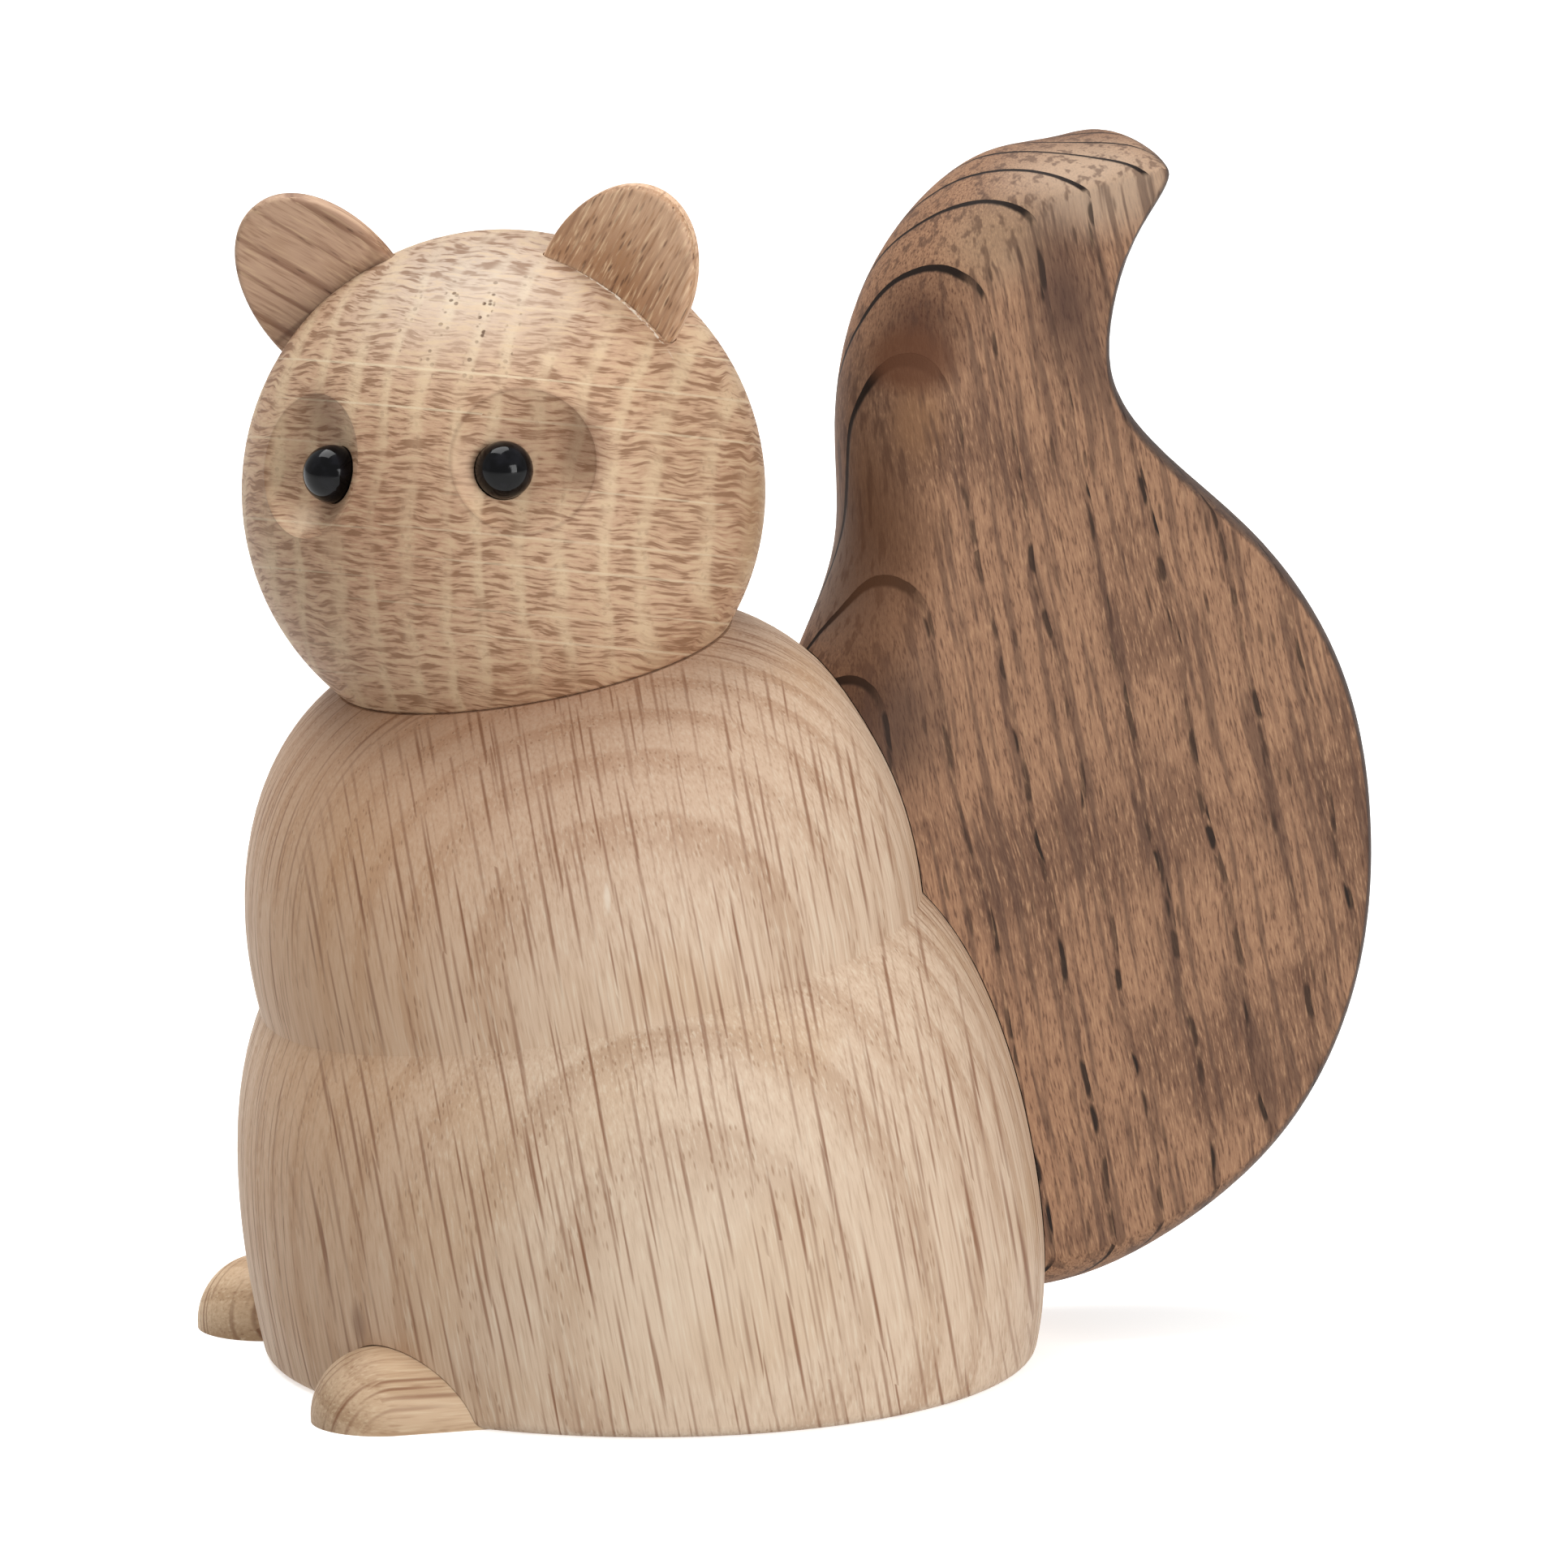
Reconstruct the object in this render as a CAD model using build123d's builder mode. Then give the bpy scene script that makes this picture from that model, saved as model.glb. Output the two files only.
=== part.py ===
from build123d import *
import os
from math import cos, radians, sin, sqrt

os.makedirs("parts", exist_ok=True)

# A wooden squirrel figurine: turned oak body, ball head that turns on a dowel, smoked tail.
# Millimetres. The squirrel faces -Y, its left is +X, it stands on Z = 0.

# The turned axis leans forward and meets the table a little behind the origin.
lean_angle = 10.75
axis_back = 0.9

# Turned body: heights run along the leaning axis, each a step up or down from the crease.
crease_up = 39.8
crease_radius = 31.7
waist_rise = 7.7
waist_radius = 31.6
chest_rise = 9.5
chest_radius = 29.3
shoulder_rise = 7.0
shoulder_radius = 25.1
neck_rise = 4.85
neck_radius = 18.8
hip_drop = 3.6
hip_radius = 33.6
belly_drop = 10.2
belly_radius = 36.5
seat_drop = 14.5
seat_radius = 37.5
heel_drop = 13.5
heel_radius = 35.8
below_drop = 9.0
below_radius = 31.5
base_round = 1.3

# Ball head, cut flat where it rests on the neck.
head_radius = 24.5
head_rise = 16.05
head_turn_angle = 52.0
head_cock_angle = 3.6
neck_edge = 0.9

# Eyes: a dished recess and a bead on a peg. Angles are in the head's own frame.
recess_aside_angle = 28.9
recess_above_angle = 20.6
recess_rim = 6.75
recess_depth = 2.3
bead_aside_angle = 24.0
bead_above_angle = 19.5
bead_radius = 2.7
bead_out = 22.5
peg_radius = 1.0
peg_length = 6.0

# Ears: oval plates let into slots in the head.
ear_aside_angle = 54.0
ear_toe_angle = 3.8
ear_front = 1.3
ear_thickness = 2.0
ear_out = 24.6
ear_half_length = 10.8
ear_half_width = 7.4
ear_round = 0.6

# Feet: dowels with a domed end, set in from the seat and sanded flat with the underside.
foot_aside_share = 0.536
foot_set_in = 4.4
foot_radius = 6.4
foot_axis_height = 0.6
foot_inside = 15.0

# Tail: plate with a broad round front edge and a narrow one behind.
# Its outline runs up the front, over the tip and down the back: shares of the reach behind
# the axis, of the height, and, for the depth of the rounding, of half the plate.
tail_half = 10.0
tail_reach = 69.1
tail_height = 114.1
tail_shares = [
    (0.1520, 0.4996, 0.80),
    (0.2185, 0.5942, 0.80),
    (0.2605, 0.6696, 0.85),
    (0.2605, 0.7625, 0.88),
    (0.2952, 0.8738, 0.88),
    (0.3792, 0.9500, 0.75),
    (0.4920, 0.9921, 0.50),
    (0.5962, 1.0000, 0.32),
    (0.6715, 1.0000, 0.22),
    (0.6990, 0.9869, 0.20),
    (0.6758, 0.9448, 0.20),
    (0.6310, 0.8852, 0.20),
    (0.6223, 0.8186, 0.20),
    (0.6946, 0.7493, 0.20),
    (0.8365, 0.6696, 0.20),
    (0.9537, 0.5618, 0.20),
    (1.0000, 0.4294, 0.20),
    (0.9797, 0.2848, 0.22),
    (0.8828, 0.1630, 0.28),
    (0.7091, 0.0745, 0.40),
    (0.5210, 0.0368, 0.50),
    (0.3184, 0.0701, 0.60),
    (0.1592, 0.2629, 0.80),
]
rim_steps = [-90, -75, -50, -25, 0, 25, 50, 75, 90]

# Hidden dowels and the room left for glue and for turning.
neck_dowel_radius = 5.0
neck_dowel_inside = 20.0
neck_dowel_above = 14.0
tail_dowel_radius = 4.0
tail_dowel_length = 30.0
tail_dowel_upper_height = 53.0
tail_dowel_lower_height = 25.0
tail_dowel_upper_back = 6.0
tail_dowel_lower_back = 18.0
dowel_bevel = 0.8
end_room = 1.0
glue_gap = 0.1
turning_gap = 0.06

# Heights along the axis, stepped from the crease, the feet's places and the tail's outline.
waist_up = crease_up + waist_rise
chest_up = waist_up + chest_rise
shoulder_up = chest_up + shoulder_rise
neck_up = shoulder_up + neck_rise
head_up = neck_up + head_rise
hip_up = crease_up - hip_drop
belly_up = hip_up - belly_drop
seat_up = belly_up - seat_drop
heel_up = seat_up - heel_drop
below_up = heel_up - below_drop
foot_forward = seat_radius - foot_set_in
foot_aside = seat_radius * foot_aside_share
tail_points = []
for back_share, up_share, depth_share in tail_shares:
    tail_points.append((back_share * tail_reach, up_share * tail_height, depth_share * tail_half))

# Frames: across the leaning axis, along it, and the head's own.
axis_foot = Vector(0, axis_back, 0)
axis_up = Vector(0, -sin(radians(lean_angle)), cos(radians(lean_angle)))
axis_rear = Vector(0, cos(radians(lean_angle)), sin(radians(lean_angle)))
turned_axis = Axis(axis_foot, axis_up)
profile_plane = Plane(axis_foot, x_dir=(1, 0, 0), z_dir=-axis_rear)
neck_plane = Plane(axis_foot + axis_up * neck_up, x_dir=(1, 0, 0), z_dir=axis_up)

turn = radians(head_turn_angle)
cock = radians(head_cock_angle)
face_ahead = Vector(sin(turn), 0, 0) - axis_rear * cos(turn)
face_left = axis_up.cross(face_ahead)
head_top = axis_up * cos(cock) + face_left * sin(cock)
head_plane = Plane(axis_foot + axis_up * head_up, x_dir=face_ahead, z_dir=head_top)


def head_direction(ahead, left, above):
    """Turn a direction in the head's frame into one in the figurine's frame."""
    return head_plane.x_dir * ahead + head_plane.y_dir * left + head_plane.z_dir * above


def aimed(aside, above, side):
    """Give the direction from the ball's centre at two angles, on one side of the face."""
    level = cos(radians(above))
    left = side * level * sin(radians(aside))
    return head_direction(level * cos(radians(aside)), left, sin(radians(above)))


def turned_solid(gap, mode):
    """Turn the body's outline, grown all round by a gap, about the leaning axis."""
    with BuildSketch(profile_plane) as outline:
        with BuildLine():
            upper = Spline(
                (neck_radius + gap, neck_up),
                (shoulder_radius + gap, shoulder_up),
                (chest_radius + gap, chest_up),
                (waist_radius + gap, waist_up),
                (crease_radius + gap, crease_up),
            )
            lower = Spline(
                upper @ 1,
                (hip_radius + gap, hip_up),
                (belly_radius + gap, belly_up),
                (seat_radius + gap, seat_up),
                (heel_radius + gap, heel_up),
                (below_radius + gap, below_up),
            )
            Polyline(lower @ 1, (0, below_up), (0, neck_up), upper @ 0)
        make_face()
    revolve(outline.sketch, axis=turned_axis, mode=mode)


def foot_solid(side, gap, mode):
    """Make a domed dowel pointing forward on one side, grown by a gap."""
    with BuildSketch(Plane.XY.offset(foot_axis_height)) as outline:
        with BuildLine():
            dome = (side * foot_aside, -foot_forward)
            inner = foot_inside + gap - foot_forward
            radius = foot_radius + gap
            start = (dome[0], dome[1] - radius)
            bend = (dome[0] + radius, dome[1])
            rounded = RadiusArc(start, bend, -radius)
            Polyline(rounded @ 1, (bend[0], inner), (dome[0], inner), start)
        make_face()
    foot_axis = Axis((dome[0], dome[1], foot_axis_height), (0, 1, 0))
    revolve(outline.sketch, axis=foot_axis, mode=mode)


def dowel_solid(plane, radius, length, bevel):
    """Make a dowel standing on a plane, with bevelled ends."""
    with BuildSketch(plane) as outline:
        Circle(radius)
    extrude(outline.sketch, amount=length)
    chamfer(edges().filter_by(GeomType.CIRCLE), bevel)


def dowel_hole(plane, radius, length):
    """Bore a hole for a dowel that stands on a plane."""
    with BuildSketch(plane) as outline:
        Circle(radius)
    extrude(outline.sketch, amount=length, mode=Mode.SUBTRACT)


def rim_outline(step):
    """Give the tail's outline points at one step of the way round its rounded rim."""
    inset_share = 1 - cos(radians(step))
    placed = []
    for index, (back, up, depth) in enumerate(tail_points):
        before = tail_points[index - 1]
        after = tail_points[(index + 1) % len(tail_points)]
        run = after[0] - before[0]
        rise = after[1] - before[1]
        reach = depth * inset_share / sqrt(run**2 + rise**2)
        placed.append((back + rise * reach, up - run * reach))
    return placed


def ear_plane(side):
    """Give the plane of an ear's front face, with X pointing out of the head."""
    toe = radians(ear_toe_angle)
    facing = head_direction(cos(toe), -side * sin(toe), 0)
    across = head_direction(sin(toe), side * cos(toe), 0)
    outward = across * cos(radians(ear_aside_angle)) + head_top * sin(radians(ear_aside_angle))
    return Plane(head_plane.origin + facing * ear_front, x_dir=outward, z_dir=facing)


def peg_plane(side):
    """Give the plane at a bead's centre that looks in to the ball's centre."""
    aim = aimed(bead_aside_angle, bead_above_angle, side)
    return Plane(head_plane.origin + aim * bead_out, z_dir=-aim)


neck_dowel_plane = neck_plane.offset(-neck_dowel_inside)
neck_dowel_length = neck_dowel_inside + neck_dowel_above
upper_dowel_plane = Plane((0, tail_dowel_upper_back, tail_dowel_upper_height), z_dir=(0, 1, 0))
lower_dowel_plane = Plane((0, tail_dowel_lower_back, tail_dowel_lower_height), z_dir=(0, 1, 0))
tail_dowel_planes = [upper_dowel_plane, lower_dowel_plane]
tail_bore_radius = tail_dowel_radius + glue_gap
tail_bore_length = tail_dowel_length + end_room + end_room

# Body: turned, cut level at the table, then bored and notched for what it holds.
with BuildPart() as body:
    turned_solid(0, Mode.ADD)
    split(bisect_by=Plane.XY, keep=Keep.TOP)
    fillet(faces().sort_by(Axis.Z)[0].edges(), base_round)
    dowel_hole(neck_dowel_plane.offset(-end_room), neck_dowel_radius + glue_gap, neck_dowel_length)
    for bore_plane in tail_dowel_planes:
        dowel_hole(bore_plane.offset(-end_room), tail_bore_radius, tail_bore_length)
    for side in (1, -1):
        foot_solid(side, glue_gap, Mode.SUBTRACT)

# Tail: lofted across its thickness, coped to the turned back and bored for its dowels.
with BuildPart() as tail:
    for step in rim_steps:
        with BuildSketch(Plane.YZ.offset(tail_half * sin(radians(step)))):
            with BuildLine():
                Spline(*rim_outline(step), periodic=True)
            make_face()
    loft()
    turned_solid(glue_gap, Mode.SUBTRACT)
    for bore_plane in tail_dowel_planes:
        dowel_hole(bore_plane.offset(-end_room), tail_bore_radius, tail_bore_length)

# Ears, plain and grown by the glue gap for their slots.
ears = {}
for side in (1, -1):
    for gap in (0, glue_gap):
        with BuildPart() as ear:
            with BuildSketch(ear_plane(side).offset(gap)):
                with Locations((ear_out, 0)):
                    Ellipse(ear_half_length + gap, ear_half_width + gap)
            extrude(amount=-ear_thickness - gap - gap)
            fillet(edges().filter_by(GeomType.ELLIPSE), ear_round + gap)
        ears[side, gap] = ear

# Head: ball with a neck flat, two dished recesses, ear slots, bead seats and the dowel's bore.
with BuildPart() as head:
    with Locations(head_plane.origin):
        Sphere(head_radius)
    split(bisect_by=neck_plane, keep=Keep.TOP)
    fillet(faces().filter_by(GeomType.PLANE).edges(), neck_edge)
    rim_out = sqrt(head_radius**2 - recess_rim**2)
    dish_radius = (recess_rim**2 + recess_depth**2) / (2 * recess_depth)
    for side in (1, -1):
        dish_aim = aimed(recess_aside_angle, recess_above_angle, side)
        with Locations(head_plane.origin + dish_aim * (rim_out - recess_depth + dish_radius)):
            Sphere(dish_radius, mode=Mode.SUBTRACT)
        add(ears[side, glue_gap].part, mode=Mode.SUBTRACT)
        with Locations(peg_plane(side).origin):
            Sphere(bead_radius + glue_gap, mode=Mode.SUBTRACT)
        dowel_hole(peg_plane(side), peg_radius + glue_gap, bead_radius + peg_length + end_room)
    dowel_hole(neck_plane, neck_dowel_radius + turning_gap, neck_dowel_above + end_room)

# Dowels, hidden in the joints.
with BuildPart() as neck_dowel:
    dowel_solid(neck_dowel_plane, neck_dowel_radius, neck_dowel_length, dowel_bevel)

with BuildPart() as tail_dowel_upper:
    dowel_solid(upper_dowel_plane, tail_dowel_radius, tail_dowel_length, dowel_bevel)

with BuildPart() as tail_dowel_lower:
    dowel_solid(lower_dowel_plane, tail_dowel_radius, tail_dowel_length, dowel_bevel)

named = {
    "body": body,
    "tail": tail,
    "head": head,
    "neck_dowel": neck_dowel,
    "tail_dowel_upper": tail_dowel_upper,
    "tail_dowel_lower": tail_dowel_lower,
}

# Ears, eyes and feet, one of each to a side.
for name, side in (("left", 1), ("right", -1)):
    named["ear_" + name] = ears[side, 0]

    with BuildPart() as eye:
        with Locations(peg_plane(side).origin):
            Sphere(bead_radius)
        with BuildSketch(peg_plane(side)):
            Circle(peg_radius)
        extrude(amount=bead_radius + peg_length)
    named["eye_" + name] = eye

    with BuildPart() as foot:
        foot_solid(side, 0, Mode.ADD)
        split(bisect_by=Plane.XY, keep=Keep.TOP)
    named["foot_" + name] = foot

for name, built in named.items():
    built.part.label = name
    export_step(built.part, "parts/" + name + ".step")
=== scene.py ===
"""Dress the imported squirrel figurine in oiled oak, smoked oak and black glass, on a white sweep."""

import logging
from dataclasses import dataclass, replace
from enum import Enum
from math import radians
from typing import Union

import bmesh
import bpy
from mathutils import Matrix, Vector

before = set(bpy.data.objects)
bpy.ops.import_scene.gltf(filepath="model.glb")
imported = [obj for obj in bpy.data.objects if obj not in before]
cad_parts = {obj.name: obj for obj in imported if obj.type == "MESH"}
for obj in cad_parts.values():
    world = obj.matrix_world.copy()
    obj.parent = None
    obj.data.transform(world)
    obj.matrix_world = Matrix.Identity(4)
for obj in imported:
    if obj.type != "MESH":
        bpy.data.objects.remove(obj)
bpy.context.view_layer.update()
MM = 0.001
LOG = logging.getLogger("squirrel")

Socket = bpy.types.NodeSocket
Triple = tuple[float, float, float]
Span = tuple[float, float]
Value = Union[Socket, float, tuple]
Layer = tuple[Value, str]

# A noise strays about a quarter either way of its half, so four times that is its full reach.
NOISE_HALF: Triple = (0.5, 0.5, 0.5)
NOISE_REACH = 4.0

# The Mix node's sockets share their names, so the ones used here go by number.
SHARE, COLOUR_UNDER, COLOUR_OVER, COLOUR_OUT = 0, 6, 7, 2
NUMBER_UNDER, NUMBER_OVER = 2, 3

# The side of the body that shows the ring arches, and the run of the tail's grain.
ARCH_SIDE: Triple = (0.993, -0.117, 0.0)
TAIL_GRAIN: Triple = (0.0, -0.2, 0.98)


class Ease(Enum):
    """How a value goes from one end of its range to the other."""

    EVEN = "LINEAR"
    SOFT = "SMOOTHSTEP"


def linear(hex_code: str) -> tuple[float, float, float, float]:
    """Turn an sRGB hex colour into a linear one.

    Args:
        hex_code: Six hex digits after a hash sign.

    Returns:
        Linear red, green, blue and an alpha of one.
    """
    parts = [int(hex_code[i : i + 2], 16) / 255 for i in (1, 3, 5)]
    red, green, blue = [c / 12.92 if c <= 0.04045 else ((c + 0.055) / 1.055) ** 2.4 for c in parts]
    return (red, green, blue, 1.0)


def bare_material(name: str) -> bpy.types.Material:
    """Make a material with an empty node tree.

    Args:
        name: What the material is called.

    Returns:
        The material.
    """
    made = bpy.data.materials.new(name)
    made.use_nodes = True
    made.node_tree.nodes.clear()
    return made


@dataclass
class Graph:
    """A material's node tree, with one way to add a node."""

    tree: bpy.types.NodeTree

    def add(
        self,
        kind: str,
        inputs: Union[tuple, dict] = (),
        output: Union[int, str] = 0,
        **settings: object,
    ) -> Socket:
        """Add a node, set it up and link it.

        Args:
            kind: Node type, without the shader prefix.
            inputs: Values or sockets in the order of the inputs, or by input name or number.
            output: Name or number of the socket handed back.
            settings: Properties of the node; an Enum stands for its value.

        Returns:
            The chosen output socket, or the first input of a node without outputs.
        """
        node = self.tree.nodes.new("ShaderNode" + kind)
        for name, setting in settings.items():
            setattr(node, name, setting.value if isinstance(setting, Enum) else setting)
        for name, value in inputs.items() if isinstance(inputs, dict) else enumerate(inputs):
            if isinstance(value, Socket):
                self.tree.links.new(value, node.inputs[name])
            else:
                node.inputs[name].default_value = value
        return node.outputs[output] if len(node.outputs) else node.inputs[0]


@dataclass(frozen=True)
class Blank:
    """How a piece lies in the wood it was cut from: which way its grain and its rings point.

    Lengths are in millimetres in the figurine's frame.
    """

    along: Triple = (0.0, 0.0, 1.0)
    outward: Triple = (1.0, 0.0, 0.0)
    middle: Triple = (0.0, 0.0, 0.0)

    def place(self, graph: Graph) -> Socket:
        """Give a point's place in the blank.

        Args:
            graph: The material's nodes.

        Returns:
            Millimetres outward, across and along.
        """
        along = Vector(self.along).normalized()
        outward = Vector(self.outward)
        outward = (outward - along * outward.dot(along)).normalized()
        turn = Matrix((outward, along.cross(outward), along))
        inputs = {
            "Vector": graph.add("TexCoord", output="Object"),
            "Location": -(turn @ Vector(self.middle)),
            "Rotation": turn.to_euler(),
            "Scale": (1 / MM, 1 / MM, 1 / MM),
        }
        return graph.add("Mapping", inputs, vector_type="POINT")


@dataclass(frozen=True)
class Flecks:
    """Small spindles in the wood, such as rays and pores: pitch and half sizes in millimetres.

    The faintest has the least strength, and the shortest is that many times shorter than the longest.
    """

    pitch: Triple
    half: Triple
    seed: float = 0.0
    least: float = 0.35
    soft: float = 0.5
    shortest: float = 2.0

    def mask(self, graph: Graph, place: Value) -> Socket:
        """Mark the points inside a spindle.

        Args:
            graph: The material's nodes.
            place: Point in the blank, in millimetres.

        Returns:
            One in the middle of a spindle, falling to zero at its skin.
        """
        per_mm = tuple(1 / size for size in self.pitch)
        seeds = (self.seed,) * 3
        cells = graph.add("VectorMath", (place, per_mm, seeds), operation="MULTIPLY_ADD")
        inputs = {"Vector": cells, "Scale": 1.0, "Randomness": 1.0}
        nearest = graph.add("TexVoronoi", inputs, "Position", voronoi_dimensions="3D", feature="F1")
        luck = graph.add("SeparateColor", (nearest.node.outputs["Color"],)).node.outputs
        bright = (luck["Red"], 0.0, 1.0, self.least, 1.0)
        strength = graph.add("MapRange", bright, interpolation_type=Ease.EVEN)
        length = (luck["Green"], 0.0, 1.0, 1.0, self.shortest)
        shorter = graph.add("MapRange", length, interpolation_type=Ease.EVEN)
        gap = graph.add("VectorMath", (cells, nearest), operation="SUBTRACT")
        slimness = tuple(size / half for size, half in zip(self.pitch, self.half))
        gap = graph.add("VectorMath", (gap, slimness), operation="MULTIPLY")
        squeeze = graph.add("CombineXYZ", (1.0, 1.0, shorter))
        gap = graph.add("VectorMath", (gap, squeeze), operation="MULTIPLY")
        away = graph.add("VectorMath", (gap,), "Value", operation="LENGTH")
        skin = (away, 1.0 - self.soft, 1.0, 1.0, 0.0)
        inside = graph.add("MapRange", skin, interpolation_type=Ease.SOFT)
        return graph.add("Math", (inside, strength), operation="MULTIPLY")


@dataclass(frozen=True)
class Rings:
    """Growth rings: their width, how far off the pith is and how uneven they run, in millimetres.

    The early wood rises over the first share of a ring and is over by the end of the fall.
    Rings grow wider and narrower over a stretch of uneven_widths, counted in ring widths.
    """

    width: float
    pith: float
    start: float = 0.0
    wander: float = 0.6
    wander_size: float = 28.0
    uneven: float = 0.5
    uneven_widths: float = 1.7
    rise: float = 0.1
    fall: Span = (0.15, 0.6)
    fade: float = 0.5
    fade_size: Triple = (9.0, 9.0, 22.0)
    fade_edge: Span = (0.35, 0.6)

    def early(self, graph: Graph, place: Value) -> Socket:
        """Mark the porous early wood at the start of each ring.

        Args:
            graph: The material's nodes.
            place: Point in the blank, in millimetres.

        Returns:
            One in the early wood, falling to zero in the late wood.
        """
        soft = Ease.SOFT
        slow = {"Vector": place, "Scale": 1 / self.wander_size, "Detail": 1.0}
        sway = graph.add("TexNoise", slow, "Color")
        sway = graph.add("VectorMath", (sway, NOISE_HALF), operation="SUBTRACT")
        reach = (self.wander * NOISE_REACH,) * 3
        bent = graph.add("VectorMath", (sway, reach, place), operation="MULTIPLY_ADD")
        bent = graph.add("VectorMath", (bent, (self.pith, 0.0, 0.0)), operation="ADD")
        # A ring is as far from the pith all along the grain.
        bent = graph.add("VectorMath", (bent, (1.0, 1.0, 0.0)), operation="MULTIPLY")
        out = graph.add("VectorMath", (bent,), "Value", operation="LENGTH")
        out = graph.add("Math", (out, abs(self.pith) + self.start), operation="SUBTRACT")
        years = {"W": out, "Scale": 1 / (self.width * self.uneven_widths), "Detail": 0.0}
        odd = graph.add("TexNoise", years, noise_dimensions="1D")
        odd = graph.add("Math", (odd, self.uneven * 2, -self.uneven), operation="MULTIPLY_ADD")
        out = graph.add("Math", (out, odd), operation="ADD")
        share = graph.add("Math", (out, self.width), operation="DIVIDE")
        share = graph.add("Math", (share,), operation="FRACT")
        rise = graph.add("MapRange", (share, 0.0, self.rise), interpolation_type=soft)
        fall = graph.add("MapRange", (share, *self.fall, 1.0, 0.0), interpolation_type=soft)
        broad = graph.add("VectorMath", (place, self.fade_size), operation="DIVIDE")
        faded = graph.add("TexNoise", {"Vector": broad, "Scale": 1.0, "Detail": 1.0})
        faint = (faded, *self.fade_edge, 1.0 - self.fade, 1.0)
        kept = graph.add("MapRange", faint, interpolation_type=soft)
        early = graph.add("Math", (rise, fall), operation="MULTIPLY")
        return graph.add("Math", (early, kept), operation="MULTIPLY")


@dataclass(frozen=True)
class Patch:
    """A soft-edged mark on one place of a piece, with its half sizes in millimetres.

    A mark with a skin shows its skin only, as a line that thick in shares of its half size.
    A mark with a crumb is broken into crumbs of that size.
    """

    lie: Blank
    half: Triple
    colour: str
    share: float
    soft: float = 0.8
    crumb: float = 0.0
    crumb_edge: Span = (0.45, 0.58)
    skin: float = 0.0

    def layer(self, graph: Graph) -> Layer:
        """Give the mark as a layer of paint.

        Args:
            graph: The material's nodes.

        Returns:
            The mark's share at each point, and its colour.
        """
        place = self.lie.place(graph)
        gap = graph.add("VectorMath", (place, self.half), operation="DIVIDE")
        away = graph.add("VectorMath", (gap,), "Value", operation="LENGTH")
        fade = (away, 1.0 - self.soft, 1.0, self.share, 0.0)
        if self.skin:
            depth = graph.add("Math", (away, 1.0), operation="SUBTRACT")
            depth = graph.add("Math", (depth,), operation="ABSOLUTE")
            fade = (depth, 0.0, self.skin, self.share, 0.0)
        mask = graph.add("MapRange", fade, interpolation_type=Ease.SOFT)
        if self.crumb:
            fine = {"Vector": place, "Scale": 1 / self.crumb, "Detail": 1.0}
            crumbs = (graph.add("TexNoise", fine), *self.crumb_edge)
            broken = graph.add("MapRange", crumbs, interpolation_type=Ease.SOFT)
            mask = graph.add("Math", (mask, broken), operation="MULTIPLY")
        return mask, self.colour


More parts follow.
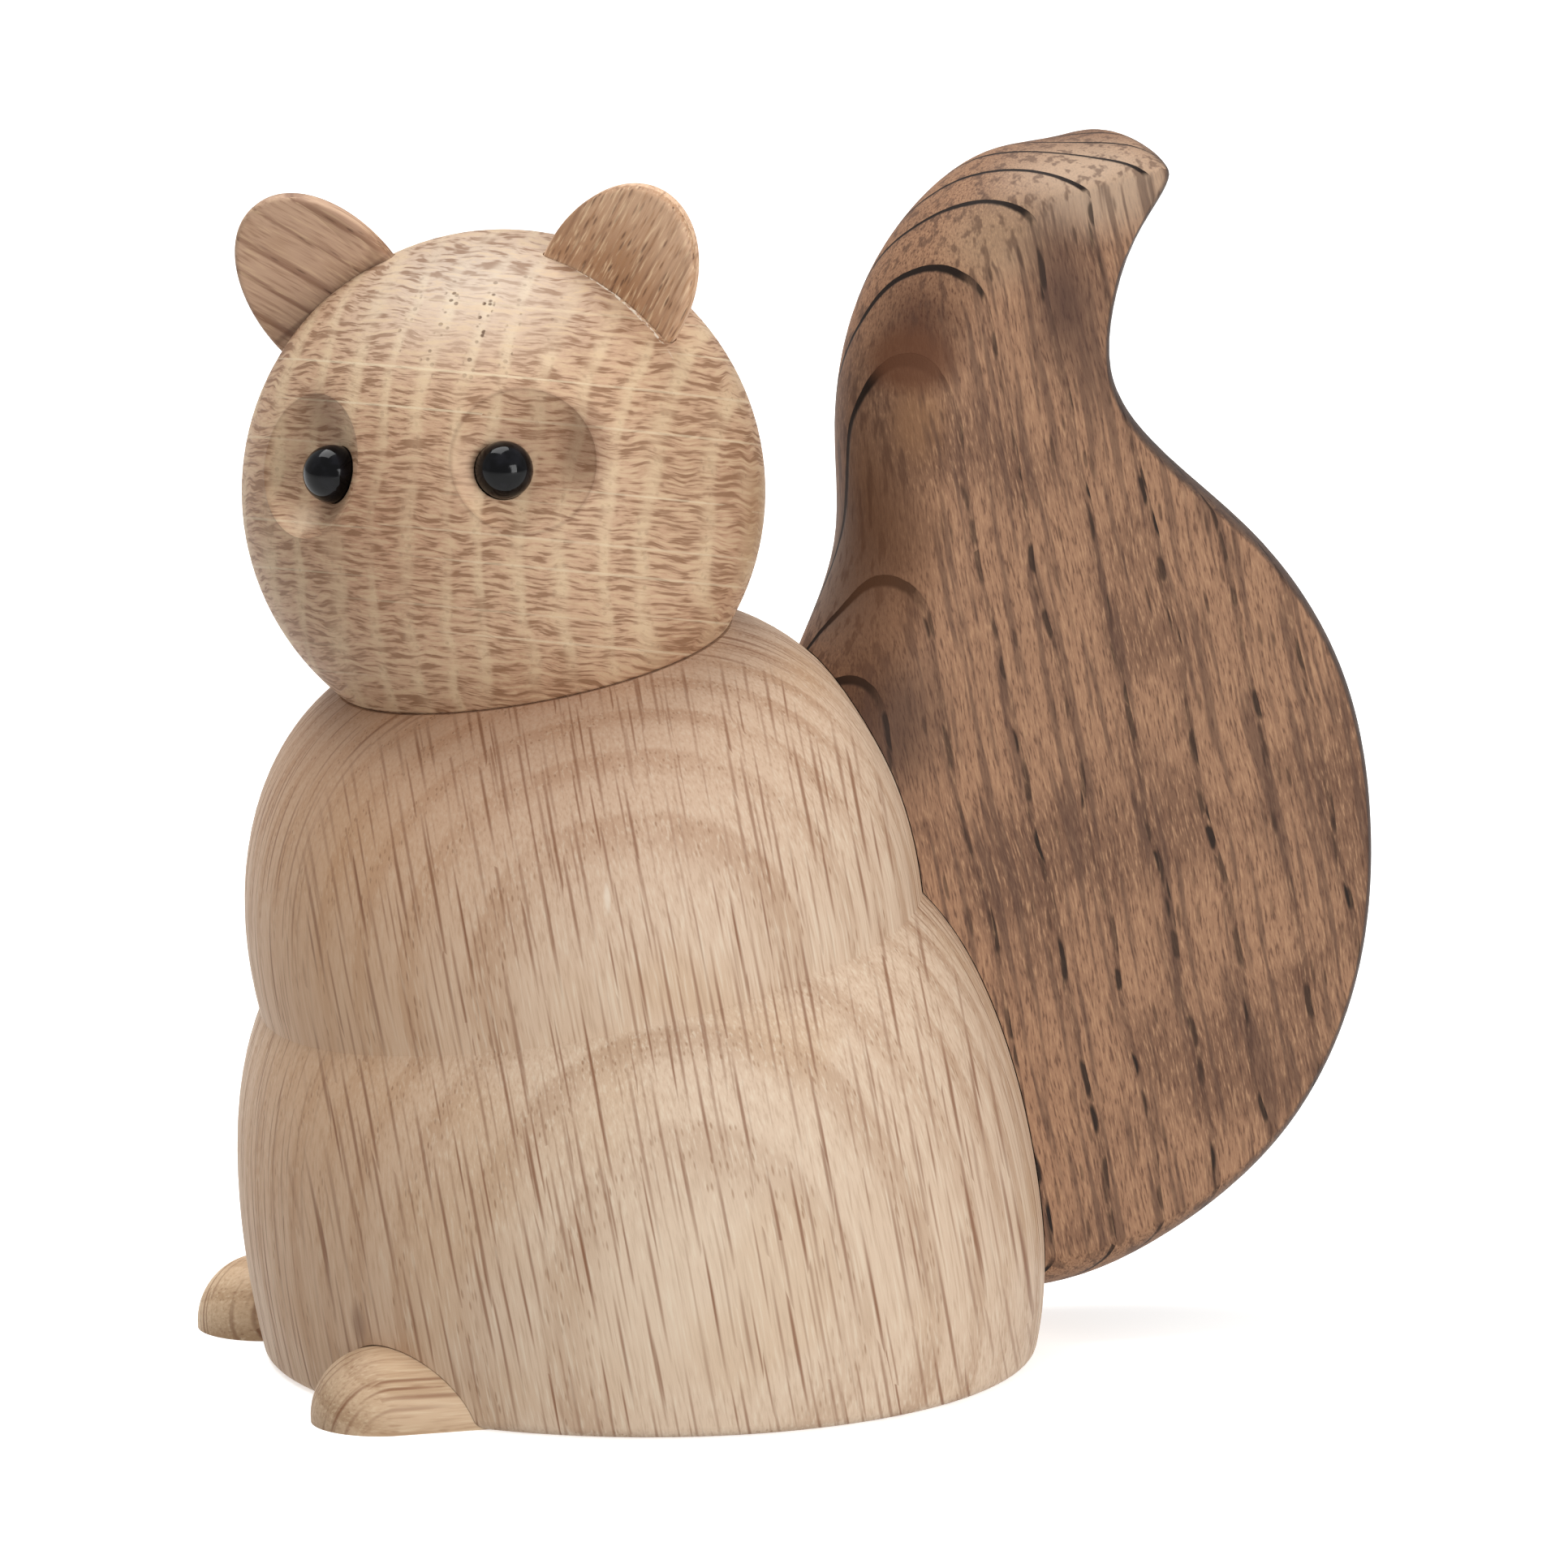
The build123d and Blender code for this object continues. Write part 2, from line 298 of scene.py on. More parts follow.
@dataclass(frozen=True)
class Timber:
    """What every wood here shares: rings, blotches of tone, fine fibres and a grain that wanders.

    Sizes are in millimetres. An edge is where on a noise a tone starts and where it is full.
    Heights are shares of the relief's depth.
    """

    name: str
    rings: Rings
    pale: str
    early: str
    early_share: float
    streak_dark: str
    streak_light: str
    # Real fibres are about 0.02 mm wide, so they are drawn ten times coarser and more, to show.
    fibre: Triple = (0.3, 0.3, 6.0)
    fibre_share: float = 0.4
    dark_edge: Span = (0.5, 0.3)
    light_edge: Span = (0.52, 0.7)
    blotch: str = "#B08F72"
    blotch_size: float = 17.0
    blotch_share: float = 0.25
    blotch_edge: Span = (0.48, 0.66)
    ripple: float = 0.4
    ripple_size: float = 16.0
    roughness: float = 0.55
    hollow_roughness: float = 0.12
    specular: float = 0.3
    relief: float = 0.4
    relief_depth: float = 0.12
    relief_range: Span = (-0.6, 0.4)
    fibre_height: float = 0.35
    patches: tuple[Patch, ...] = ()
    marks: tuple[Patch, ...] = ()

    def swayed(self, graph: Graph, place: Value) -> Socket:
        """Let the grain wander a little from side to side.

        Args:
            graph: The material's nodes.
            place: Point in the blank, in millimetres.

        Returns:
            The point on the wandering grain.
        """
        slow = {"Vector": place, "Scale": 1 / self.ripple_size, "Detail": 1.0}
        sway = graph.add("TexNoise", slow, "Color")
        sway = graph.add("VectorMath", (sway, NOISE_HALF), operation="SUBTRACT")
        reach = (self.ripple * NOISE_REACH, self.ripple * NOISE_REACH, 0.0)
        return graph.add("VectorMath", (sway, reach, place), operation="MULTIPLY_ADD")

    def streaks(self, graph: Graph, place: Value, size: Triple, seed: float = 0.0) -> Socket:
        """Draw fine streaks.

        Args:
            graph: The material's nodes.
            place: Point in the blank, in millimetres.
            size: How far apart the streaks are outward, across and along, in millimetres.
            seed: Where in the noise they start.

        Returns:
            A noise about one half.
        """
        per_mm = tuple(1 / length for length in size)
        thin = graph.add("VectorMath", (place, per_mm, (seed,) * 3), operation="MULTIPLY_ADD")
        return graph.add("TexNoise", {"Vector": thin, "Scale": 1.0, "Detail": 2.0, "Roughness": 0.6})

    def figure(
        self, graph: Graph, place: Socket, swayed: Socket, early: Socket
    ) -> tuple[list[Layer], Socket]:
        """Draw what is particular to one wood; each wood has its own.

        Args:
            graph: The material's nodes.
            place: Point in the blank, in millimetres.
            swayed: The same point on the wandering grain.
            early: Share of early wood there.

        Returns:
            The layers of paint and the surface's height.
        """
        return [], early

    def material(self, blank: Blank) -> bpy.types.Material:
        """Make the finish for one blank.

        Args:
            blank: How the piece was sawn.

        Returns:
            The material.
        """
        made = bare_material(self.name)
        graph = Graph(made.node_tree)
        place = blank.place(graph)
        swayed = self.swayed(graph, place)
        early = self.rings.early(graph, place)
        fibre = self.streaks(graph, swayed, self.fibre)
        slow = {"Vector": place, "Scale": 1 / self.blotch_size, "Detail": 2.0}
        tones = (
            (graph.add("TexNoise", slow), self.blotch_edge, self.blotch_share, self.blotch),
            (fibre, self.dark_edge, self.fibre_share, self.streak_dark),
            (fibre, self.light_edge, self.fibre_share, self.streak_light),
        )
        porous = graph.add("Math", (early, self.early_share), operation="MULTIPLY")
        layers: list[Layer] = [(porous, self.early)]
        for noise, edge, full, tint in tones:
            share = graph.add("MapRange", (noise, *edge, 0.0, full), interpolation_type=Ease.SOFT)
            layers.append((share, tint))
        figure, height = self.figure(graph, place, swayed, early)
        layers += [patch.layer(graph) for patch in self.patches]
        layers += figure
        layers += [mark.layer(graph) for mark in self.marks]
        colour: Value = linear(self.pale)
        for share, tint in layers:
            paint = {SHARE: share, COLOUR_UNDER: colour, COLOUR_OVER: linear(tint)}
            colour = graph.add("Mix", paint, COLOUR_OUT, data_type="RGBA")
        height = graph.add("Math", (fibre, self.fibre_height, height), operation="MULTIPLY_ADD")
        duller = self.roughness + self.hollow_roughness
        sheen = (height, *self.relief_range, duller, self.roughness)
        bump = {"Strength": self.relief, "Distance": self.relief_depth * MM, "Height": height}
        surface = {
            "Base Color": colour,
            "Roughness": graph.add("MapRange", sheen, interpolation_type=Ease.EVEN),
            "Normal": graph.add("Bump", bump),
            "Specular IOR Level": self.specular,
        }
        graph.add("OutputMaterial", (graph.add("BsdfPrincipled", surface),))
        return made


@dataclass(frozen=True)
class LongGrainOak(Timber):
    """Oak worked along the grain, sanded and oiled: straw late wood, brown rays like pencil lines.

    A piece faced one way shows its rays there, and a second set where it turns away.
    """

    early_depth: float = 0.1
    ray: str = "#7C5136"
    ray_share: float = 0.9
    ray_depth: float = 0.25
    ray_turn: float = 0.0
    faced: Union[Triple, None] = None
    faced_edge: Span = (0.3, 0.5)
    rays: tuple[Flecks, ...] = (
        Flecks(pitch=(7.0, 1.65, 18.0), half=(8.0, 0.25, 13.0), least=0.5, shortest=1.8, soft=0.75),
        Flecks(pitch=(5.0, 1.3, 12.0), half=(5.0, 0.16, 9.0), seed=37.3, least=0.25, soft=0.8),
    )
    pore: str = "#8A6446"
    pore_share: float = 0.6
    pore_depth: float = 0.6
    pore_edge: Span = (0.0, 0.5)
    late_pores: float = 0.12
    pores: Flecks = Flecks(pitch=(0.42, 0.42, 2.2), half=(0.15, 0.15, 1.3), seed=11.7, soft=0.7)

    def figure(
        self, graph: Graph, place: Socket, swayed: Socket, early: Socket
    ) -> tuple[list[Layer], Socket]:
        """Draw the rays and, most in the early wood, the pores.

        Args:
            graph: The material's nodes.
            place: Point in the blank, in millimetres.
            swayed: The same point on the wandering grain.
            early: Share of early wood there.

        Returns:
            The layers of paint and the surface's height.
        """
        layers: list[Layer] = []
        turn = {"Vector": swayed, "Angle": radians(self.ray_turn)}
        turned = graph.add("VectorRotate", turn, rotation_type="Z_AXIS")
        if self.faced:
            normal = graph.add("TexCoord", output="Normal")
            flat = graph.add("VectorMath", (normal, self.faced), "Value", operation="DOT_PRODUCT")
            flat = graph.add("Math", (flat,), operation="ABSOLUTE")
            flat = graph.add("MapRange", (flat, *self.faced_edge), interpolation_type=Ease.SOFT)
            split = graph.add("SeparateXYZ", (swayed,)).node.outputs
            swapped = graph.add("CombineXYZ", (split["Y"], split["X"], split["Z"]))
        height = graph.add("Math", (early, -self.early_depth), operation="MULTIPLY")
        for rays in self.rays:
            mask = rays.mask(graph, turned)
            if self.faced:
                sets = {SHARE: flat, NUMBER_UNDER: rays.mask(graph, swapped), NUMBER_OVER: mask}
                mask = graph.add("Mix", sets, data_type="FLOAT")
            layers.append((graph.add("Math", (mask, self.ray_share), operation="MULTIPLY"), self.ray))
            height = graph.add("Math", (mask, -self.ray_depth, height), operation="MULTIPLY_ADD")
        porous = (early, *self.pore_edge, self.late_pores, 1.0)
        spread = graph.add("MapRange", porous, interpolation_type=Ease.SOFT)
        hollow = graph.add("Math", (self.pores.mask(graph, swayed), spread), operation="MULTIPLY")
        layers.append((graph.add("Math", (hollow, self.pore_share), operation="MULTIPLY"), self.pore))
        return layers, graph.add("Math", (hollow, -self.pore_depth, height), operation="MULTIPLY_ADD")


@dataclass(frozen=True)
class EndGrainOak(Timber):
    """Oak cut across the grain: pale pore bands, flame strokes between them, thin pale rays.

    The porous patch is the crown, where the pores are open and the strokes calm down.
    """

    stroke: str = "#7D583C"
    stroke_share: float = 0.75
    stroke_edge: Span = (0.52, 0.38)
    stroke_light: str = "#D2B793"
    stroke_light_share: float = 0.6
    stroke_light_edge: Span = (0.53, 0.64)
    stroke_size: Triple = (2.5, 0.38, 6.0)
    stroke_seed: float = 3.3
    stroke_depth: float = 0.5
    band_edge: Span = (0.0, 0.9)
    band_strokes: float = 0.25
    ray: str = "#DCC8A8"
    ray_share: float = 0.7
    rays: Flecks = Flecks(pitch=(40.0, 4.5, 40.0), half=(25.0, 0.16, 40.0), least=0.35, shortest=1.2)
    pores: Flecks = Flecks(pitch=(0.75, 0.75, 0.9), half=(0.28, 0.28, 0.45), seed=5.1)
    pore_edge: Span = (0.1, 0.45)
    pore_depth: float = 1.0
    porous: Patch = Patch(Blank(middle=(13.5, -21.7, 102.0)), (10.0, 12.0, 10.0), "#5E432F", 1.0)
    porous_strokes: float = 0.4
    other_pores: float = 0.2

    def figure(
        self, graph: Graph, place: Socket, swayed: Socket, early: Socket
    ) -> tuple[list[Layer], Socket]:
        """Draw the flame strokes across the late wood, the rays and the open pores.

        Args:
            graph: The material's nodes.
            place: Point in the blank, in millimetres.
            swayed: The same point on the wandering grain.
            early: Share of early wood there.

        Returns:
            The layers of paint and the surface's height.
        """
        soft = Ease.SOFT
        flame = self.streaks(graph, swayed, self.stroke_size, self.stroke_seed)
        bands = (early, *self.band_edge, 1.0, self.band_strokes)
        late = graph.add("MapRange", bands, interpolation_type=soft)
        troughs = (flame, *self.stroke_edge, 0.0, self.stroke_share)
        dark = graph.add("MapRange", troughs, interpolation_type=soft)
        dark = graph.add("Math", (dark, late), operation="MULTIPLY")
        region, pore = self.porous.layer(graph)
        crown = (region, 0.0, 1.0, 1.0, self.porous_strokes)
        calm = graph.add("MapRange", crown, interpolation_type=Ease.EVEN)
        dark = graph.add("Math", (dark, calm), operation="MULTIPLY")
        crests = (flame, *self.stroke_light_edge, 0.0, self.stroke_share * self.stroke_light_share)
        light = graph.add("MapRange", crests, interpolation_type=soft)
        ray = graph.add("Math", (self.rays.mask(graph, place), self.ray_share), operation="MULTIPLY")
        region = graph.add("Math", (region, self.other_pores), operation="MAXIMUM")
        hollow = graph.add("MapRange", (early, *self.pore_edge), interpolation_type=soft)
        hollow = graph.add("Math", (hollow, self.pores.mask(graph, place)), operation="MULTIPLY")
        hollow = graph.add("Math", (hollow, region), operation="MULTIPLY")
        layers = [(dark, self.stroke), (light, self.stroke_light), (ray, self.ray), (hollow, pore)]
        height = graph.add("Math", (dark, -self.stroke_depth), operation="MULTIPLY")
        return layers, graph.add("Math", (hollow, -self.pore_depth, height), operation="MULTIPLY_ADD")


@dataclass(frozen=True)
class SmokedOak(Timber):
    """Oak smoked dark brown: near-black pore dashes along each ring, blotchy tone, tan fibres.

    The rings show as whole lines where the round front and top cut them, and as dashes elsewhere.
    """

    dash: str = "#1F1510"
    dash_share: float = 1.0
    dash_depth: float = 0.4
    dashes: Flecks = Flecks(pitch=(0.9, 0.9, 5.5), half=(0.62, 0.62, 3.0), seed=2.9, least=0.5, soft=0.4)
    line_share: float = 0.12
    line_edge: Span = (0.66, 0.86)
    side_edge: Span = (0.99, 0.8)
    front_edge: Span = (0.1, 0.5)
    pore: str = "#3F2C23"
    pore_share: float = 0.75
    pore_depth: float = 0.4
    pores: Flecks = Flecks(pitch=(1.1, 1.1, 4.5), half=(0.25, 0.25, 2.4), seed=17.1, least=0.1)
    band: str = "#50392F"
    band_share: float = 0.6
    band_size: Triple = (1.0, 1.0, 22.0)
    band_seed: float = 7.7
    band_edge: Span = (0.5, 0.36)
    rim: str = "#3B3230"
    rim_share: float = 0.85
    rim_edge: Span = (0.15, 0.75)

    def figure(
        self, graph: Graph, place: Socket, swayed: Socket, early: Socket
    ) -> tuple[list[Layer], Socket]:
        """Draw the darker rear rim, the pores and each ring's line of black dashes.

        Args:
            graph: The material's nodes.
            place: Point in the blank, in millimetres.
            swayed: The same point on the wandering grain.
            early: Share of early wood there.

        Returns:
            The layers of paint and the surface's height.
        """
        soft = Ease.SOFT
        normal = graph.add("TexCoord", output="Normal")
        facing = graph.add("SeparateXYZ", (normal,)).node.outputs
        rear = (facing["Y"], *self.rim_edge, 0.0, self.rim_share)
        rim = graph.add("MapRange", rear, interpolation_type=soft)
        across = graph.add("Math", (facing["X"],), operation="ABSOLUTE")
        off_side = (across, *self.side_edge, self.line_share, 1.0)
        off_rear = (facing["Y"], *self.front_edge, 1.0, self.line_share)
        edge = graph.add("MapRange", off_side, interpolation_type=soft)
        front = graph.add("MapRange", off_rear, interpolation_type=soft)
        whole = graph.add("Math", (edge, front), operation="MINIMUM")
        tone = self.streaks(graph, swayed, self.band_size, self.band_seed)
        troughs = (tone, *self.band_edge, 0.0, self.band_share)
        band = graph.add("MapRange", troughs, interpolation_type=soft)
        flat = graph.add("Math", (1.0, whole), operation="SUBTRACT")
        hollow = graph.add("Math", (self.pores.mask(graph, swayed), flat), operation="MULTIPLY")
        dash = graph.add("Math", (self.dashes.mask(graph, swayed), whole), operation="MAXIMUM")
        line = graph.add("MapRange", (early, *self.line_edge), interpolation_type=soft)
        dash = graph.add("Math", (dash, line), operation="MULTIPLY")
        layers = [
            (band, self.band),
            (rim, self.rim),
            (graph.add("Math", (hollow, self.pore_share), operation="MULTIPLY"), self.pore),
            (graph.add("Math", (dash, self.dash_share), operation="MULTIPLY"), self.dash),
        ]
        height = graph.add("Math", (hollow, -self.pore_depth), operation="MULTIPLY")
        return layers, graph.add("Math", (dash, -self.dash_depth, height), operation="MULTIPLY_ADD")


@dataclass(frozen=True)
class BlackGlass:
    """Black glass beads, fire polished: deep gloss with a trace of handling."""

    name: str = "black_glass"
    tone: str = "#08080A"
    bloom: str = "#141418"
    bloom_edge: Span = (0.45, 0.7)
    smear_size: float = 1.6
    smear_edge: Span = (0.4, 0.7)
    roughness: Span = (0.07, 0.18)
    ior: float = 1.52
    specular: float = 0.16

    def material(self) -> bpy.types.Material:
        """Make the glass.

        Returns:
            The material.
        """
        made = bare_material(self.name)
        graph = Graph(made.node_tree)
        point = graph.add("TexCoord", output="Object")
        fine = {"Vector": point, "Scale": 1 / (self.smear_size * MM), "Detail": 2.0}
        smear = graph.add("TexNoise", fine)
        bloom = graph.add("MapRange", (smear, *self.bloom_edge), interpolation_type=Ease.SOFT)
        tones = {SHARE: bloom, COLOUR_UNDER: linear(self.tone), COLOUR_OVER: linear(self.bloom)}
        sheen = (smear, *self.smear_edge, *self.roughness)
        surface = {
            "Base Color": graph.add("Mix", tones, COLOUR_OUT, data_type="RGBA"),
            "Roughness": graph.add("MapRange", sheen, interpolation_type=Ease.EVEN),
            "IOR": self.ior,
            "Specular IOR Level": self.specular,
        }
        graph.add("OutputMaterial", (graph.add("BsdfPrincipled", surface),))
        return made


# Oak turned along the grain, sanded and oiled: a pale straw ground with soft brown ring arches
# and dark, straight ray lines. The patches are painted shade of the head over the shoulder and
# upper body, a warmer tone across the belly, painted bounce light from the floor low on the side,
# and a small dark spot.
BODY_OAK = LongGrainOak(
    name="oiled_oak_long_grain",
    rings=Rings(
        width=3.4,
        pith=110.0,
        start=0.9,
        wander=0.5,
        uneven=0.3,
        rise=0.12,
        fall=(0.25, 0.62),
        fade=0.6,
    ),
    pale="#CEB49B",
    early="#A27D60",
    early_share=0.5,
    streak_dark="#AB8E74",
    streak_light="#DCCBB3",
    fibre_share=0.5,
    blotch="#B8946F",
    blotch_share=0.35,
    ripple=0.08,
    ray_share=0.85,
    ray_turn=8.2,
    faced=ARCH_SIDE,
    patches=(
        # Painted shade of the head over the shoulder and upper body.
        Patch(Blank(middle=(8.0, -20.0, 66.0)), (44.0, 44.0, 34.0), "#A5775A", 0.62, soft=1.0),
        Patch(Blank(middle=(12.0, -40.0, 36.0)), (30.0, 34.0, 60.0), "#CA9A6E", 0.5, soft=1.0),
        # Painted bounce light from the floor, low on the side.
        Patch(Blank(middle=(37.0, -5.7, 16.0)), (30.0, 36.0, 30.0), "#DCCAB2", 0.35, soft=1.0),
        Patch(Blank(middle=(17.9, -34.6, 8.6)), (1.5, 1.3, 3.2), "#6B4A38", 0.5),
    ),
    # A pale nick on the chest.
    marks=(Patch(Blank(middle=(30.3, -13.9, 50.5)), (1.5, 0.4, 1.9), "#DFCFBB", 0.7, soft=0.7),),
)

# Oak dowels with domed ends, oiled: a few brown rings stripe each dome.
FOOT_OAK = LongGrainOak(
    name="oiled_oak_foot",
    rings=Rings(width=3.6, pith=40.0, start=0.6),
    pale="#C4A788",
    early="#94714F",
    early_share=0.6,
    streak_dark="#9F7E60",
    streak_light="#D2BB9B",
    fibre_share=0.5,
)

# The same, painted lighter to stand in for light on the far foot, which sits in shade.
RIGHT_FOOT_LIT_OAK = replace(
    FOOT_OAK,
    name="oiled_oak_right_foot_painted_light",
    pale="#D6B896",
    early="#A27D58",
    streak_dark="#AE8B6B",
    streak_light="#E2CBAB",
)

# Oak turned across the grain and oiled: pale pore bands, with brown flame strokes between them
# that are drawn coarser than the fibres they are made of, and thin pale rays across both.
HEAD_OAK = EndGrainOak(
    name="oiled_oak_end_grain",
    rings=Rings(
        width=3.6,
        pith=-150.0,
        wander=0.7,
        wander_size=9.0,
        uneven=0.9,
        rise=0.2,
        fall=(0.22, 0.6),
        fade=0.6,
        fade_size=(3.5, 3.0, 9.0),
    ),
    pale="#BF9B7E",
    early="#D4BA98",
    early_share=0.75,
    streak_dark="#A07C5B",
    streak_light="#C9AB88",
    fibre=(0.6, 0.3, 5.0),
    fibre_share=0.35,
    blotch="#976B4E",
    blotch_size=14.0,
    blotch_share=0.4,
    ripple=0.35,
    ripple_size=4.5,
    relief=0.7,
    # A painted sheen of the top lamp on the crown, the warm middle of the face and the darker cheek.
    patches=(
        Patch(Blank(middle=(9.0, -20.0, 106.0)), (22.0, 22.0, 14.0), "#D6CFC1", 0.45, soft=1.0),
        Patch(Blank(middle=(17.0, -31.0, 82.0)), (13.0, 12.0, 16.0), "#A8785C", 0.4, soft=1.0),
        Patch(Blank(middle=(20.0, -5.0, 88.0)), (10.0, 10.0, 14.0), "#9A7453", 0.25, soft=1.0),
    ),
    # Painted shade along the rims of the two dishes and on the shaded sides of their hollows, painted
    # light on their lit sides, the far cheek, and the glue line at the left ear.
    marks=(
        # Painted shade along the dish rims.
        Patch(Blank(middle=(22.08, -19.39, 90.3)), (6.75, 6.75, 6.75), "#5E3D2A", 0.28, skin=0.05),
        Patch(Blank(middle=(8.98, -36.11, 88.49)), (6.75, 6.75, 6.75), "#5E3D2A", 0.18, skin=0.05),
        # Painted shade on the right-hand wall of the near dish, painted light on its left side.
        Patch(Blank(middle=(21.4, -18.0, 91.0)), (5.5, 5.6, 6.0), "#85593F", 0.25, soft=0.5),
        Patch(Blank(middle=(22.5, -13.8, 91.5)), (3.6, 3.4, 5.6), "#6E4A33", 0.5, soft=0.7),
        Patch(Blank(middle=(20.6, -24.4, 89.0)), (2.5, 2.5, 5.0), "#D2B296", 0.45),
        # Painted shade at the top of the far dish, painted light at its bottom.
        Patch(Blank(middle=(7.5, -34.4, 93.5)), (4.0, 3.0, 4.0), "#6B4630", 0.35),
        Patch(Blank(middle=(8.5, -36.6, 83.4)), (3.0, 2.5, 2.0), "#D9BFA2", 0.5),
        Patch(Blank(middle=(13.3, 5.5, 82.0)), (5.0, 5.0, 7.0), "#9A7047", 0.2),
        Patch(
            Blank(outward=(0.7456, -0.6557, -0.1186), middle=(11.8, -7.5, 103.9)),
            (0.32, 9.5, 9.5),
            "#E6DCCB",
            0.9,
            soft=0.5,
            crumb=0.5,
        ),
    ),
)

# Thin oak plates, sanded and oiled: fine dark ring lines and open pores on the flat faces.
EAR_OAK = LongGrainOak(
    name="oiled_oak_ear",
    rings=Rings(width=3.0, pith=60.0, rise=0.08, fall=(0.1, 0.35), fade=0.3),
    pale="#BE9C82",
    early="#7C5642",
    early_share=0.85,
    streak_dark="#96735A",
    streak_light="#D0B08F",
    fibre_share=0.65,
    blotch="#9A7556",
    blotch_size=8.0,
    blotch_share=0.5,
    ray="#74503A",
    ray_share=0.5,
    pore="#573C2D",
    pore_share=0.75,
    # Painted shade in the corner where the ear's base meets the head, with some glue stain.
    marks=(
        Patch(
            Blank((5.9, 9.42, 8.94), (-3.88, -8.07, 11.06), (-6.5, -29.4, 101.5)),
            (0.5, 4.0, 14.0),
            "#6B4C3A",
            0.65,
            soft=0.7,
        ),
    ),
)

# The same, painted lighter to stand in for the key lamp's light on this ear, with no painted shade at
# its base.
LEFT_EAR_LIT_OAK = replace(
    EAR_OAK,
    name="oiled_oak_left_ear_painted_light",
    pale="#DAB596",
    early="#9A6E4B",
    streak_dark="#AA7F5B",
    streak_light="#EACBA5",
    blotch="#A88264",
    marks=(),
)

# Smoked oak, sawn as a plate and left matt: dark and light brown in short fibres, black dashes
# where the sides cut the rings and black arcs over the round front and top.
TAIL_OAK = SmokedOak(
    name="smoked_oak",
    rings=Rings(
        width=3.95,
        pith=400.0,
        start=-0.65,
        wander=0.5,
        wander_size=14.0,
        uneven=0.6,
        rise=0.02,
        fall=(0.04, 0.3),
        fade=0.12,
    ),
    pale="#9C765B",
    early="#5C4236",
    early_share=0.45,
    streak_dark="#563A2D",
    streak_light="#B28B6B",
    fibre=(0.2, 0.2, 1.5),
    fibre_share=0.75,
    blotch="#5B3F31",
    blotch_share=0.6,
    specular=0.15,
    relief=0.6,
    # A painted sheen of the top lamp on the tip and along the top, the dark neck under it, and the tones
    # down the front edge, with painted shade and a grey painted reflection on the face next to the body.
    patches=(
        Patch(Blank(middle=(9.5, 40.3, 111.5)), (14.0, 13.0, 7.0), "#BBA38C", 0.65),
        Patch(Blank(middle=(8.5, 30.5, 106.0)), (7.0, 7.0, 6.0), "#AC9074", 0.5),
        Patch(
            Blank(TAIL_GRAIN, middle=(10.0, 37.0, 100.5)),
            (9.0, 5.5, 13.0),
            "#422C25",
            0.85,
            soft=1.0,
        ),
        Patch(Blank(middle=(7.5, 23.4, 98.6)), (8.0, 7.0, 7.5), "#45281F", 0.8, soft=1.0),
        # Painted shade with a grey painted reflection, on the front face next to the body.
        Patch(Blank(middle=(4.0, 18.0, 82.0)), (11.0, 9.0, 26.0), "#745E4F", 0.6),
        Patch(Blank(middle=(1.2, 17.7, 72.5)), (9.0, 7.0, 11.0), "#7C7068", 0.6),
        Patch(Blank(middle=(9.9, 18.5, 61.0)), (9.0, 10.0, 12.0), "#412C23", 0.8),
        Patch(Blank(middle=(8.6, 22.9, 89.5)), (5.0, 3.5, 6.0), "#916C4E", 0.6),
    ),
    # Worn places on the front edge, where the black arcs fade.
    marks=(
        Patch(Blank(middle=(7.6, 22.5, 95.2)), (6.5, 6.0, 4.2), "#65422F", 0.85, soft=0.6),
        Patch(Blank(middle=(7.0, 19.0, 76.0)), (9.0, 8.5, 16.0), "#664631", 0.6),
    ),
)

# Beech dowel rod, smooth: even and pale, with the same kind of rays as oak, only fainter.
DOWEL_BEECH = LongGrainOak(
    name="beech_dowel",
    rings=Rings(width=2.4, pith=80.0),
    pale="#CDAE8C",
    early="#BC9A76",
    early_share=0.5,
    streak_dark="#B8956F",
    streak_light="#D8BE9E",
    ray_share=0.3,
)


def put_on(node: str, material: bpy.types.Material) -> None:
    """Give a CAD node its finish in every slot it has.

    Args:
        node: The node's name.
        material: Its finish.
    """
    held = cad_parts[node]
    if not held.material_slots:
        held.data.materials.append(material)
    for slot in held.material_slots:
        slot.material = material


@dataclass
class TurnedBody:
    """The turned body with its two feet and the hidden dowels."""

    axis: Triple = (0.0, -0.1865, 0.9825)
    axis_foot: Triple = (0.0, 0.9, 0.0)
    foot_grain: Triple = (0.0, -1.0, 0.05)
    foot_ring_lean: float = 0.3
    foot_aside: float = 20.1
    foot_middle: float = 3.0
    dowel_grain: Triple = (0.0, 1.0, 0.0)
    dowels: tuple[str, ...] = ("neck_dowel", "tail_dowel_upper", "tail_dowel_lower")

    def dress(self) -> list[str]:
        """Give the body, feet and dowels their wood.

        Returns:
            The names of the pieces dressed.
        """
        put_on("body", BODY_OAK.material(Blank(self.axis, ARCH_SIDE, self.axis_foot)))
        for name, side, oak in (("foot_left", 1, FOOT_OAK), ("foot_right", -1, RIGHT_FOOT_LIT_OAK)):
            outward = (self.foot_ring_lean * side, 0.0, 1.0)
            middle = (side * self.foot_aside, 0.0, self.foot_middle)
            put_on(name, oak.material(Blank(self.foot_grain, outward, middle)))
        for name in self.dowels:
            put_on(name, DOWEL_BEECH.material(Blank(self.dowel_grain)))
        return ["body", "foot_left", "foot_right", *self.dowels]


